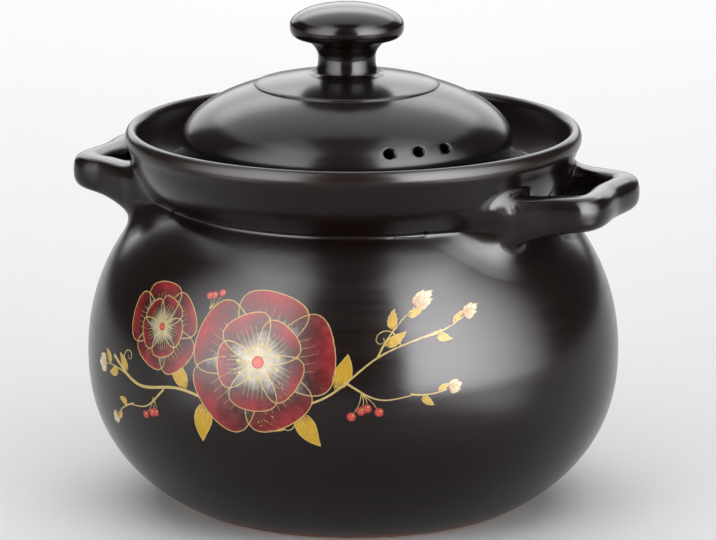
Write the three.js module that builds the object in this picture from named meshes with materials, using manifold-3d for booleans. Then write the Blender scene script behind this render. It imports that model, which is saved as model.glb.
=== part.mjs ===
// A round-bellied clay stew pot with two loop handles and a loose domed lid.
// Millimetres, +Z up. The origin is the middle of the foot, on the surface that the pot stands on.
// The handles lie along +X and -X.

import * as THREE from "three";
import { mergeVertices } from "three/addons/utils/BufferGeometryUtils.js";
import Module from "manifold-3d";

const wasm = await Module();
wasm.setup();

// Belly and foot
const BELLY_RADIUS = 125;
const BELLY_LEVEL = 71; // height of the widest place
const BELLY_FULLNESS = 2.3; // exponent of the curve below it, where 2 is an ellipse
const SHOULDER_REACH = 72; // how far in from the widest place the shoulder's ellipse is centred
const FOOT_RADIUS = 81;
const FOOT_EDGE = 2; // rounding of the foot's outer edge
const FOOT_RING_WIDTH = 13;
const FOOT_RECESS = 3; // the base is hollowed by this much inside its ring
const FLOOR = 9;
const FLOOR_FILLET = 12;
const WALL = 7;

// Neck, collar and rolled rim
const NECK_RADIUS = 89.5;
const NECK_LEVEL = 143.3;
const NECK_WALL = 11.5;
const NECK_FILLET = 2; // rounding in the neck's crease
const COLLAR_HEIGHT = 33.2; // from the neck's crease to the top of the rim
const COLLAR_SWELL = 11; // the collar's curve first leans out by this much
const COLLAR_LIFT = 9.2; // while it climbs this much
const RIM_FLARE = 17; // the rim's outside, out from the neck's crease
const RIM_BEAD = 5.8; // thickness of the rolled edge
const RIM_OVERHANG = 1.6; // how far the bead stands out from the collar
const RIM_DEPTH = 9.3; // from the top of the rim to the foot of the bead
const BEAD_START = -40; // degrees from +X in the bead's section to where its roll leaves the collar
const LEDGE_RISE = 10.7; // from the neck's crease to the lid's ledge
const LEDGE_WIDTH = 13.5;
const LEDGE_EDGE = 2; // rounding at the throat
const LEDGE_FILLET = 8; // height over which the inside of the collar bends into the ledge

// Loop handles
const HANDLE_BEARING = 22.3; // degrees from the handle's middle line to each root
const HANDLE_ROOT_REACH = 18.4; // root's first free section, out from the neck's crease
const HANDLE_ROOT_RISE = 5.8; // the same section above the crease
const HANDLE_RISE = 7.2; // knuckles above the neck's crease
const HANDLE_PROJECTION = 18.6; // middle of the bar, out from the rim
const KNUCKLE_SPREAD = 23; // knuckles to each side of the handle's middle line
const ARM_WIDTH = 13;
const ARM_HEIGHT = 16.9;
const ROOT_FLARE = 5; // how much an arm widens at its root
const ROOT_HEIGHT = 17.5;
const WEB_REACH = 12.9; // a web under the root runs down onto the shoulder, this far out from the crease
const WEB_HEIGHT = 36;
const WEB_DROP = 0.8; // middle of the web below the root's
const BURIED_HEIGHT = 53; // the web inside the wall, where the loft starts
const BURIED_DROP = 13; // middle of that web below the root's
const KNUCKLE_WIDTH = 14.5;
const KNUCKLE_HEIGHT = 16.1;
const BAR_WIDTH = 14.8;
const BAR_HEIGHT = 16.6;
const BAR_DIP = 0.2; // the bar's middle hangs this much below the knuckles
const SECTION_FULLNESS = 2.3; // exponent of the handle's rounded section
const BURIED_SHARE = 0.6; // the loft starts inside the wall, at this share of the web's radius

// Lid
const LID_PLAY = 4; // the brim's clearance inside the ledge
const LID_NEAR_GAP = 1; // the lid lies loose, pushed to one side until this gap is left there
const LID_SHIFT_BEARING = 203; // degrees from +X to that side
const LID_WALL = 6;
const BRIM_WIDTH = 10;
const BRIM_THICKNESS = 4.7;
const DOME_TUCK = 2.1; // how far the dome draws in above the brim
const DOME_LEVEL = 15.7; // widest place of the dome above the brim's underside
const DOME_HEIGHT = 31.1; // from there to the middle of the dome
const CROWN_RADIUS = 44.5;
const CROWN_STEP = 0.7;
const VENT_COUNT = 3;
const VENT_DIAMETER = 5.4;
const VENT_CHAMFER = 1; // bevel round each vent
const VENT_SPACING = 15;
const VENT_RISE = 9.4; // vents above the dome's widest place
const VENT_BEARING = -40; // degrees from +X to the middle vent

// Knob
const KNOB_FOOT_RADIUS = 17;
const KNOB_NECK_RADIUS = 13.4;
const KNOB_NECK_RISE = 7.5;
const KNOB_CAP_RADIUS = 26.6;
const KNOB_CAP_RISE = 22.9; // widest place of the cap above the crown
const KNOB_CAP_HEIGHT = 10.2; // from there to the top
const KNOB_LIP_WIDTH = 5; // rounding under the cap's edge
const KNOB_LIP_HEIGHT = 5.9;

// Clearances
const LUTE_GAP = 0.3; // layer of slip between joined pieces
const SEAT_GAP = 0.3; // the lid's brim above its ledge

// Facets
const POT_SIDES = 56;
const LID_SIDES = 56;
const KNOB_SIDES = 36;
const VENT_SIDES = 14;
const HANDLE_SIDES = 14;
const HANDLE_STEPS = 40;
const BELLY_STEPS = 9;
const SHOULDER_STEPS = 8;
const COLLAR_STEPS = 5;
const ROLL_STEPS = 7;
const INSIDE_STEPS = 6;
const DOME_STEPS = 7;
const CAP_STEPS = 6;
const STEM_STEPS = 5;
const FILLET_STEPS = 3;
const MERGE_TOLERANCE = 1e-3; // points nearer than this are one

// Glaze
const GLAZE_COLOUR = 0x120d0c; // near-black with a brown cast
const POT_ROUGHNESS = 0.25;
const LID_ROUGHNESS = 0.2;

// Sizes that follow from those above
const RIM_RADIUS = NECK_RADIUS + RIM_FLARE;
const THROAT_RADIUS = NECK_RADIUS - NECK_WALL;
const LEDGE_RADIUS = THROAT_RADIUS + LEDGE_WIDTH;
const LEDGE_LEVEL = NECK_LEVEL + LEDGE_RISE;
const RIM_LEVEL = NECK_LEVEL + COLLAR_HEIGHT;
const FLOOR_LEVEL = FOOT_RECESS + FLOOR;
const BRIM_RADIUS = LEDGE_RADIUS - LID_PLAY;
const DOME_RADIUS = BRIM_RADIUS - BRIM_WIDTH;
const CROWN_LEVEL = domeLevel(CROWN_RADIUS) + CROWN_STEP;
const PAD_RADIUS = KNOB_FOOT_RADIUS + 2 * LUTE_GAP;
const PAD_LEVEL = domeLevel(PAD_RADIUS) + CROWN_STEP;
const VENT_RADIUS = DOME_RADIUS * Math.sqrt(1 - (VENT_RISE / DOME_HEIGHT) ** 2);
const LID_SHIFT = LID_PLAY - LID_NEAR_GAP;

function point(radius, level) {
  return new THREE.Vector2(radius, level);
}

function radians(degrees) {
  return THREE.MathUtils.degToRad(degrees);
}

// Points of an ellipse's arc, angles in degrees from +r towards +z.
function arc(centre, reach, height, from, to, steps) {
  return Array.from({ length: steps + 1 }, (_, i) => {
    const angle = radians(from + ((to - from) * i) / steps);
    return point(centre.x + reach * Math.cos(angle), centre.y + height * Math.sin(angle));
  });
}

function bend(start, control, end, steps) {
  return new THREE.QuadraticBezierCurve(start, control, end).getPoints(steps);
}

// Height of the dome's outer surface above the brim's underside.
function domeLevel(radius) {
  return DOME_LEVEL + DOME_HEIGHT * Math.sqrt(1 - (radius / DOME_RADIUS) ** 2);
}

// A profile turned round Z, with the points that fall together left out.
function turned(profile, sides) {
  const apart = profile.filter((p, i) => i === 0 || p.distanceTo(profile[i - 1]) > MERGE_TOLERANCE);
  const geometry = new THREE.LatheGeometry(apart, sides);
  geometry.rotateX(Math.PI / 2);
  return geometry;
}

function toSolid(geometry) {
  const bare = geometry.clone();
  bare.deleteAttribute("normal");
  bare.deleteAttribute("uv");
  const merged = mergeVertices(bare, MERGE_TOLERANCE);
  const corners = merged.index.array;
  const kept = [];
  for (let i = 0; i < corners.length; i += 3) {
    const [a, b, c] = corners.slice(i, i + 3);
    if (a !== b && b !== c && c !== a) kept.push(a, b, c);
  }
  const mesh = new wasm.Mesh({
    numProp: 3,
    vertProperties: new Float32Array(merged.attributes.position.array),
    triVerts: new Uint32Array(kept),
  });
  return new wasm.Manifold(mesh);
}

function toGeometry(solid) {
  const mesh = solid.getMesh();
  const geometry = new THREE.BufferGeometry();
  geometry.setAttribute("position", new THREE.BufferAttribute(mesh.vertProperties, 3));
  geometry.setIndex(new THREE.BufferAttribute(mesh.triVerts, 1));
  geometry.computeVertexNormals();
  return geometry;
}

function cut(geometry, cutters) {
  let solid = toSolid(geometry);
  for (const cutter of cutters) solid = solid.subtract(toSolid(cutter));
  return toGeometry(solid);
}

// The belly's curve below its widest place, drawn in by a wall, from one height up to the widest place.
function lowerBelly(inset, level, steps) {
  const share = (1 - (FOOT_RADIUS / BELLY_RADIUS) ** BELLY_FULLNESS) ** (1 / BELLY_FULLNESS);
  const depth = BELLY_LEVEL / share - inset;
  const lowest = Math.asin(((BELLY_LEVEL - level) / depth) ** (BELLY_FULLNESS / 2));
  return Array.from({ length: steps + 1 }, (_, i) => {
    const angle = lowest * (1 - i / steps);
    const radius = (BELLY_RADIUS - inset) * Math.cos(angle) ** (2 / BELLY_FULLNESS);
    return point(radius, BELLY_LEVEL - depth * Math.sin(angle) ** (2 / BELLY_FULLNESS));
  });
}

// The shoulder's ellipse, drawn in by a wall, from the widest place up to a radius at the neck.
function shoulder(inset, radius, steps) {
  const centre = point(BELLY_RADIUS - SHOULDER_REACH, BELLY_LEVEL);
  const share = (NECK_RADIUS - centre.x) / SHOULDER_REACH;
  const height = (NECK_LEVEL - BELLY_LEVEL) / Math.sqrt(1 - share ** 2) - inset;
  const last = THREE.MathUtils.radToDeg(Math.acos((radius - centre.x) / (SHOULDER_REACH - inset)));
  return arc(centre, SHOULDER_REACH - inset, height, 0, last, steps);
}

// The pot's outside from the foot's edge to the bead.
function outerOutline() {
  const neck = point(NECK_RADIUS, NECK_LEVEL);
  const swell = point(NECK_RADIUS + COLLAR_SWELL, NECK_LEVEL + COLLAR_LIFT);
  const underBead = point(RIM_RADIUS - RIM_OVERHANG, RIM_LEVEL - RIM_DEPTH);
  const lowerPart = [
    ...lowerBelly(0, FOOT_EDGE, BELLY_STEPS),
    ...shoulder(0, NECK_RADIUS + NECK_FILLET, SHOULDER_STEPS),
  ];
  const shoulderEnd = lowerPart[lowerPart.length - 1];
  const collarStart = swell.clone().sub(neck).setLength(NECK_FILLET).add(neck);
  return [
    ...lowerPart,
    ...bend(shoulderEnd, neck, collarStart, FILLET_STEPS),
    ...bend(collarStart, swell, underBead, COLLAR_STEPS),
  ];
}

function potProfile() {
  const ringInner = FOOT_RADIUS - FOOT_RING_WIDTH;
  const bead = point(RIM_RADIUS - RIM_BEAD / 2, RIM_LEVEL - RIM_BEAD / 2);
  const roll = arc(bead, RIM_BEAD / 2, RIM_BEAD / 2, BEAD_START, 180, ROLL_STEPS);
  const collarBend = point(RIM_RADIUS - RIM_BEAD - RIM_OVERHANG, LEDGE_LEVEL + LEDGE_FILLET);
  const ledge = point(LEDGE_RADIUS, LEDGE_LEVEL);
  const ledgeEdge = point(THROAT_RADIUS + LEDGE_EDGE, LEDGE_LEVEL - LEDGE_EDGE);
  const innerShoulder = shoulder(WALL, THROAT_RADIUS, INSIDE_STEPS).reverse();
  const innerBelly = lowerBelly(WALL, FLOOR_LEVEL + FLOOR_FILLET / 2, INSIDE_STEPS).reverse();
  const wallFoot = innerBelly[innerBelly.length - 1];
  const floorCorner = point(wallFoot.x - FLOOR_FILLET / 3, FLOOR_LEVEL);
  const floorEdge = point(wallFoot.x - FLOOR_FILLET, FLOOR_LEVEL);
  return [
    point(0, FOOT_RECESS),
    point(ringInner - FOOT_RECESS, FOOT_RECESS),
    point(ringInner, 0),
    point(FOOT_RADIUS - FOOT_EDGE, 0),
    ...outerOutline(),
    ...roll,
    ...bend(roll[roll.length - 1], collarBend, ledge, COLLAR_STEPS),
    ...arc(ledgeEdge, LEDGE_EDGE, LEDGE_EDGE, 90, 180, FILLET_STEPS),
    ...innerShoulder,
    ...innerBelly,
    ...bend(wallFoot, floorCorner, floorEdge, FILLET_STEPS),
    point(0, FLOOR_LEVEL),
  ];
}

// The pot's outside up to its rim, swollen by the layer of slip and filled in to the axis.
function potEnvelope() {
  const outline = outerOutline();
  const swollen = outline.map((p, i) => {
    const before = outline[Math.max(i - 1, 0)];
    const after = outline[Math.min(i + 1, outline.length - 1)];
    const along = after.clone().sub(before).normalize();
    return point(p.x + along.y * LUTE_GAP, p.y - along.x * LUTE_GAP);
  });
  const bottom = point(0, swollen[0].y);
  const rimEdge = point(swollen[swollen.length - 1].x, RIM_LEVEL);
  return turned([bottom, ...swollen, rimEdge, point(0, RIM_LEVEL)], POT_SIDES);
}

// A coordinate of a section that is rounder than a rectangle and fuller than an ellipse.
function rounded(share) {
  return Math.sign(share) * Math.abs(share) ** (2 / SECTION_FULLNESS);
}

// A closed loft along a curve, through sections whose width and height follow a second curve.
function loft(path, sizes) {
  const up = new THREE.Vector3(0, 0, 1);
  const positions = [];
  const index = [];
  for (let ring = 0; ring <= HANDLE_STEPS; ring++) {
    const centre = path.getPoint(ring / HANDLE_STEPS);
    const along = path.getTangent(ring / HANDLE_STEPS);
    const size = sizes.getPoint(ring / HANDLE_STEPS);
    const side = new THREE.Vector3().crossVectors(along, up).normalize();
    const over = new THREE.Vector3().crossVectors(side, along);
    for (let j = 0; j < HANDLE_SIDES; j++) {
      const angle = (2 * Math.PI * j) / HANDLE_SIDES;
      const corner = centre.clone();
      corner.addScaledVector(side, (rounded(Math.cos(angle)) * size.x) / 2);
      corner.addScaledVector(over, (rounded(Math.sin(angle)) * size.y) / 2);
      positions.push(...corner.toArray());
    }
  }
  const at = (ring, j) => ring * HANDLE_SIDES + (j % HANDLE_SIDES);
  for (let ring = 0; ring < HANDLE_STEPS; ring++) {
    for (let j = 0; j < HANDLE_SIDES; j++) {
      index.push(at(ring, j), at(ring + 1, j), at(ring, j + 1));
      index.push(at(ring, j + 1), at(ring + 1, j), at(ring + 1, j + 1));
    }
  }
  for (let j = 1; j < HANDLE_SIDES - 1; j++) {
    index.push(at(0, 0), at(0, j), at(0, j + 1));
    index.push(at(HANDLE_STEPS, 0), at(HANDLE_STEPS, j + 1), at(HANDLE_STEPS, j));
  }
  const geometry = new THREE.BufferGeometry();
  geometry.setAttribute("position", new THREE.Float32BufferAttribute(positions, 3));
  geometry.setIndex(index);
  return geometry;
}

// Half of a handle, from inside the wall to the middle of the bar: places, and section widths and heights.
function handleStations() {
  const bearing = radians(-HANDLE_BEARING);
  const outward = new THREE.Vector3(Math.cos(bearing), Math.sin(bearing), 0);
  const webRadius = NECK_RADIUS + WEB_REACH;
  const rootLevel = NECK_LEVEL + HANDLE_ROOT_RISE;
  const knuckleLevel = NECK_LEVEL + HANDLE_RISE;
  const barX = RIM_RADIUS + HANDLE_PROJECTION;
  const root = outward.clone().multiplyScalar(NECK_RADIUS + HANDLE_ROOT_REACH).setZ(rootLevel);
  const web = outward.clone().multiplyScalar(webRadius).setZ(rootLevel - WEB_DROP);
  const buried = outward.clone().multiplyScalar(BURIED_SHARE * webRadius).setZ(rootLevel - BURIED_DROP);
  const knuckle = new THREE.Vector3(barX, -KNUCKLE_SPREAD, knuckleLevel);
  const arm = root.clone().add(knuckle).divideScalar(2);
  const bar = new THREE.Vector3(barX, 0, knuckleLevel - BAR_DIP);
  return [
    { place: buried, width: ARM_WIDTH + 2 * ROOT_FLARE, height: BURIED_HEIGHT },
    { place: web, width: ARM_WIDTH + ROOT_FLARE, height: WEB_HEIGHT },
    { place: root, width: ARM_WIDTH, height: ROOT_HEIGHT },
    { place: arm, width: ARM_WIDTH, height: ARM_HEIGHT },
    { place: knuckle, width: KNUCKLE_WIDTH, height: KNUCKLE_HEIGHT },
    { place: bar, width: BAR_WIDTH, height: BAR_HEIGHT },
  ];
}

// The handle on the +X side, trimmed where it is luted to the pot.
function handleGeometry() {
  const half = handleStations();
  const otherHalf = half.slice(0, -1).reverse().map((station) => {
    const place = station.place.clone();
    place.y = -place.y;
    return { ...station, place };
  });
  const stations = [...half, ...otherHalf];
  const path = new THREE.CatmullRomCurve3(stations.map((s) => s.place));
  const sizes = new THREE.CatmullRomCurve3(stations.map((s) => new THREE.Vector3(s.width, s.height, 0)));
  return cut(loft(path, sizes), [potEnvelope()]);
}

function lidProfile() {
  const edge = BRIM_THICKNESS / 2;
  const innerRadius = DOME_RADIUS - LID_WALL;
  const innerHeight = DOME_HEIGHT - LID_WALL;
  const middle = point(0, DOME_LEVEL);
  const brimEdge = point(BRIM_RADIUS - edge, edge);
  const domeFoot = point(DOME_RADIUS, BRIM_THICKNESS);
  const tuck = point(DOME_RADIUS - 2 * DOME_TUCK, BRIM_THICKNESS); // a bend goes half way to this point
  const domeSide = point(DOME_RADIUS, DOME_LEVEL);
  const crownAngle = THREE.MathUtils.radToDeg(Math.acos(CROWN_RADIUS / DOME_RADIUS));
  const crownFoot = point(CROWN_RADIUS, domeLevel(CROWN_RADIUS));
  const crownCorner = point(CROWN_RADIUS, CROWN_LEVEL);
  const crownTop = point(CROWN_RADIUS - CROWN_STEP, domeLevel(CROWN_RADIUS - CROWN_STEP) + CROWN_STEP);
  const crownMiddle = (CROWN_RADIUS + PAD_RADIUS) / 2;
  return [
    ...arc(middle, innerRadius, innerHeight, 90, 0, DOME_STEPS),
    point(innerRadius, 0),
    ...arc(brimEdge, edge, edge, -90, 90, FILLET_STEPS),
    ...bend(domeFoot, tuck, domeSide, FILLET_STEPS),
    ...arc(middle, DOME_RADIUS, DOME_HEIGHT, 0, crownAngle, DOME_STEPS),
    ...bend(crownFoot, crownCorner, crownTop, FILLET_STEPS),
    point(crownMiddle, domeLevel(crownMiddle) + CROWN_STEP),
    point(PAD_RADIUS, PAD_LEVEL),
    point(0, PAD_LEVEL),
  ];
}

// One steam vent's cutter: a bore through the dome with a bevelled mouth, square to the dome's surface.
function ventCutter(bearing) {
  const bore = VENT_DIAMETER / 2;
  const reach = 2 * LID_WALL;
  const mouth = bore + VENT_CHAMFER + reach;
  const profile = [
    point(0, -reach),
    point(bore, -reach),
    point(bore, -VENT_CHAMFER),
    point(mouth, reach),
    point(0, reach),
  ];
  const cutter = turned(profile, VENT_SIDES);
  const lean = Math.atan2(VENT_RADIUS / DOME_RADIUS ** 2, VENT_RISE / DOME_HEIGHT ** 2);
  cutter.rotateY(lean);
  cutter.translate(VENT_RADIUS, 0, DOME_LEVEL + VENT_RISE);
  cutter.rotateZ(bearing);
  return cutter;
}

function lidGeometry() {
  const pitch = VENT_SPACING / VENT_RADIUS;
  const vents = Array.from({ length: VENT_COUNT }, (_, i) => {
    return ventCutter(radians(VENT_BEARING) + (i - (VENT_COUNT - 1) / 2) * pitch);
  });
  return cut(turned(lidProfile(), LID_SIDES), vents);
}

function knobGeometry() {
  const neck = point(KNOB_NECK_RADIUS, KNOB_NECK_RISE);
  const lip = point(KNOB_CAP_RADIUS - KNOB_LIP_WIDTH, KNOB_CAP_RISE - KNOB_LIP_HEIGHT);
  const widest = point(KNOB_CAP_RADIUS, KNOB_CAP_RISE);
  const profile = [
    point(0, 0),
    ...bend(point(KNOB_FOOT_RADIUS, 0), point(KNOB_NECK_RADIUS, 0), neck, FILLET_STEPS),
    ...bend(neck, point(KNOB_NECK_RADIUS, lip.y - KNOB_LIP_HEIGHT / 2), lip, STEM_STEPS),
    ...bend(lip, point(KNOB_CAP_RADIUS, lip.y), widest, FILLET_STEPS),
    ...arc(point(0, KNOB_CAP_RISE), KNOB_CAP_RADIUS, KNOB_CAP_HEIGHT, 0, 90, CAP_STEPS),
  ];
  return turned(profile, KNOB_SIDES);
}

// A named piece of glazed clay.
function glazed(name, geometry, roughness) {
  const material = new THREE.MeshStandardMaterial({ color: GLAZE_COLOUR, roughness, metalness: 0 });
  const mesh = new THREE.Mesh(geometry, material);
  mesh.name = name;
  return mesh;
}

const pot = new THREE.Group();
const handle = handleGeometry();
const handleLeft = glazed("handle_left", handle, POT_ROUGHNESS);
handleLeft.rotation.z = Math.PI;
pot.add(glazed("pot_body", turned(potProfile(), POT_SIDES), POT_ROUGHNESS));
pot.add(glazed("handle_right", handle, POT_ROUGHNESS));
pot.add(handleLeft);

const lid = new THREE.Group();
lid.position.x = LID_SHIFT;
lid.position.applyAxisAngle(new THREE.Vector3(0, 0, 1), radians(LID_SHIFT_BEARING));
lid.position.z = LEDGE_LEVEL + SEAT_GAP;
lid.add(glazed("lid", lidGeometry(), LID_ROUGHNESS));
const knob = glazed("lid_knob", knobGeometry(), LID_ROUGHNESS);
knob.position.z = PAD_LEVEL + LUTE_GAP;
lid.add(knob);

const clayPot = new THREE.Group();
clayPot.add(pot, lid);

export default clayPot;
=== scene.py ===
"""Dresses a black-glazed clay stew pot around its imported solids, and lights it in a small studio.

Sizes are in metres in the frame of the solids: the pot stands on z = 0 with its axis on the z axis.
"""

import logging
import math
from dataclasses import dataclass, field
from enum import Enum
from typing import Callable, Mapping, NamedTuple, Sequence

import bmesh
import bpy
from mathutils import Matrix, Vector
from mathutils.bvhtree import BVHTree


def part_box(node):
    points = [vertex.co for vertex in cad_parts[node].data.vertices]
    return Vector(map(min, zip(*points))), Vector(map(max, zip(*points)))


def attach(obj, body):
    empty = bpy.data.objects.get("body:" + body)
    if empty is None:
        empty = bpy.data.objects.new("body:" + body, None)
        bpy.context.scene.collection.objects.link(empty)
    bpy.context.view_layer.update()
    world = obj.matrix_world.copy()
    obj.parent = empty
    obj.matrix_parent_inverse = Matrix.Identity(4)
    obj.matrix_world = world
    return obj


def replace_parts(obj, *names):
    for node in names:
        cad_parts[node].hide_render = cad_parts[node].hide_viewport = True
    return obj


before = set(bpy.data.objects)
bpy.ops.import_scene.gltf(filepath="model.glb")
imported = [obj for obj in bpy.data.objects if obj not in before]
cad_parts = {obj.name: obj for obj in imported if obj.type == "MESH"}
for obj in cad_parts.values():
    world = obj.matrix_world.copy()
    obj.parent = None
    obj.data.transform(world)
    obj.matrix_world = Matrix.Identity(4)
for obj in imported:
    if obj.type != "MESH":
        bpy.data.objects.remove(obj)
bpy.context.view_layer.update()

LOG = logging.getLogger("clay_pot")

Colour = tuple[float, float, float]
Point = tuple[float, float]

WELD = 1e-6
THIN_LAYER = "thin_glaze"
ALONG_LAYER = "along"
PRINT_BUILD = 0.00018


class Station(NamedTuple):
    """A point of a turned profile, with how thin the glaze runs there from 0 to 1."""

    radius: float
    level: float
    thin: float = 0.0


def arc(centre: Point, reach: float, height: float, start: float, end: float, steps: int) -> list[Point]:
    """Walks along an ellipse.

    Args:
        centre: Middle of the ellipse.
        reach: Its half width.
        height: Its half height.
        start: Angle of the first point, in degrees.
        end: Angle of the last point, in degrees.
        steps: Number of steps between them.

    Returns:
        The points, both ends among them.
    """
    turns = [math.radians(start + (end - start) * step / steps) for step in range(steps + 1)]
    return [(centre[0] + reach * math.cos(turn), centre[1] + height * math.sin(turn)) for turn in turns]


def bend(start: Point, control: Point, end: Point, steps: int) -> list[Point]:
    """Walks along a quadratic curve that leaves and arrives towards one control point.

    Args:
        start: First point.
        control: Where the tangents at both ends meet.
        end: Last point.
        steps: Number of steps between them.

    Returns:
        The points, both ends among them.
    """
    shares = [step / steps for step in range(steps + 1)]
    return [
        tuple(a * (1 - t) ** 2 + 2 * c * t * (1 - t) + b * t * t for a, c, b in zip(start, control, end))
        for t in shares
    ]


def stations(points: Sequence[Point], thin: float = 0.0) -> list[Station]:
    """Gives profile points one share of thin glaze.

    Args:
        points: Radius and level of each point.
        thin: How thin the glaze runs along them.

    Returns:
        The points as stations.
    """
    return [Station(radius, level, thin) for radius, level in points]


def flowing(points: Sequence[Vector], steps: int) -> list[Vector]:
    """Runs a smooth centripetal curve through points.

    Args:
        points: Points that the curve passes through.
        steps: Steps between one point and the next.

    Returns:
        Points along the whole curve.
    """
    ends = [points[0] * 2 - points[1], *points, points[-1] * 2 - points[-2]]
    walk: list[Vector] = []
    for before, start, end, after in zip(ends, ends[1:], ends[2:], ends[3:]):
        gaps = [max((b - a).length, WELD) ** 0.5 for a, b in ((before, start), (start, end), (end, after))]
        leave = (start - before) / gaps[0] - (end - before) / (gaps[0] + gaps[1]) + (end - start) / gaps[1]
        arrive = (end - start) / gaps[1] - (after - start) / (gaps[1] + gaps[2]) + (after - end) / gaps[2]
        leave, arrive = leave * gaps[1], arrive * gaps[1]
        for step in range(steps):
            t = step / steps
            walk.append(
                start * (2 * t**3 - 3 * t**2 + 1)
                + leave * (t**3 - 2 * t**2 + t)
                + end * (3 * t**2 - 2 * t**3)
                + arrive * (t**3 - t**2)
            )
    return [*walk, points[-1].copy()]


def turned(profile: Sequence[Station], sides: int) -> bmesh.types.BMesh:
    """Turns a profile round the z axis, as on a wheel.

    Args:
        profile: Stations from axis to axis round the wall.
        sides: Number of steps in a full turn.

    Returns:
        A closed mesh with its normals outwards and its thin glaze in a layer.
    """
    bm = bmesh.new()
    thin = bm.verts.layers.float.new(THIN_LAYER)
    line = [bm.verts.new((station.radius, 0.0, station.level)) for station in profile]
    for vert, station in zip(line, profile):
        vert[thin] = station.thin
    edges = [bm.edges.new(pair) for pair in zip(line, line[1:])]
    bmesh.ops.spin(
        bm, geom=line + edges, cent=(0, 0, 0), axis=(0, 0, 1), angle=math.tau, steps=sides, use_merge=True
    )
    bmesh.ops.remove_doubles(bm, verts=bm.verts, dist=WELD)
    bmesh.ops.recalc_face_normals(bm, faces=bm.faces)
    return bm


def into_piece(
    bm: bmesh.types.BMesh, name: str, material: bpy.types.Material | None, crease: float
) -> bpy.types.Object:
    """Makes a finished mesh into an object of the scene.

    Args:
        bm: The mesh, in its place. It is freed.
        name: Name of the piece.
        material: Its finish, or none for a helper.
        crease: Angle in degrees past which an edge is shaded sharp.

    Returns:
        The new object, at the origin.
    """
    for face in bm.faces:
        face.smooth = True
    mesh = bpy.data.meshes.new(name)
    bm.to_mesh(mesh)
    bm.free()
    mesh.set_sharp_from_angle(angle=math.radians(crease))
    if material:
        mesh.materials.append(material)
    piece = bpy.data.objects.new(name, mesh)
    bpy.context.scene.collection.objects.link(piece)
    return piece


def frozen(piece: bpy.types.Object) -> bmesh.types.BMesh:
    """Freezes a helper object's modifiers.

    Args:
        piece: The object. It is removed with its mesh.

    Returns:
        The mesh as the modifiers leave it.
    """
    result = bpy.data.meshes.new_from_object(piece.evaluated_get(bpy.context.evaluated_depsgraph_get()))
    plain = piece.data
    bpy.data.objects.remove(piece)
    bpy.data.meshes.remove(plain)
    bm = bmesh.new()
    bm.from_mesh(result)
    bpy.data.meshes.remove(result)
    return bm


def pour(part: bmesh.types.BMesh, whole: bmesh.types.BMesh) -> None:
    """Adds one mesh to another.

    Args:
        part: The mesh to add. It is freed.
        whole: The mesh that takes it.
    """
    mesh = bpy.data.meshes.new("part")
    part.to_mesh(mesh)
    part.free()
    whole.from_mesh(mesh)
    bpy.data.meshes.remove(mesh)


def points_of(geom: Sequence[object]) -> list[bmesh.types.BMVert]:
    """The points among what an operator has made."""
    return [item for item in geom if isinstance(item, bmesh.types.BMVert)]


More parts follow.
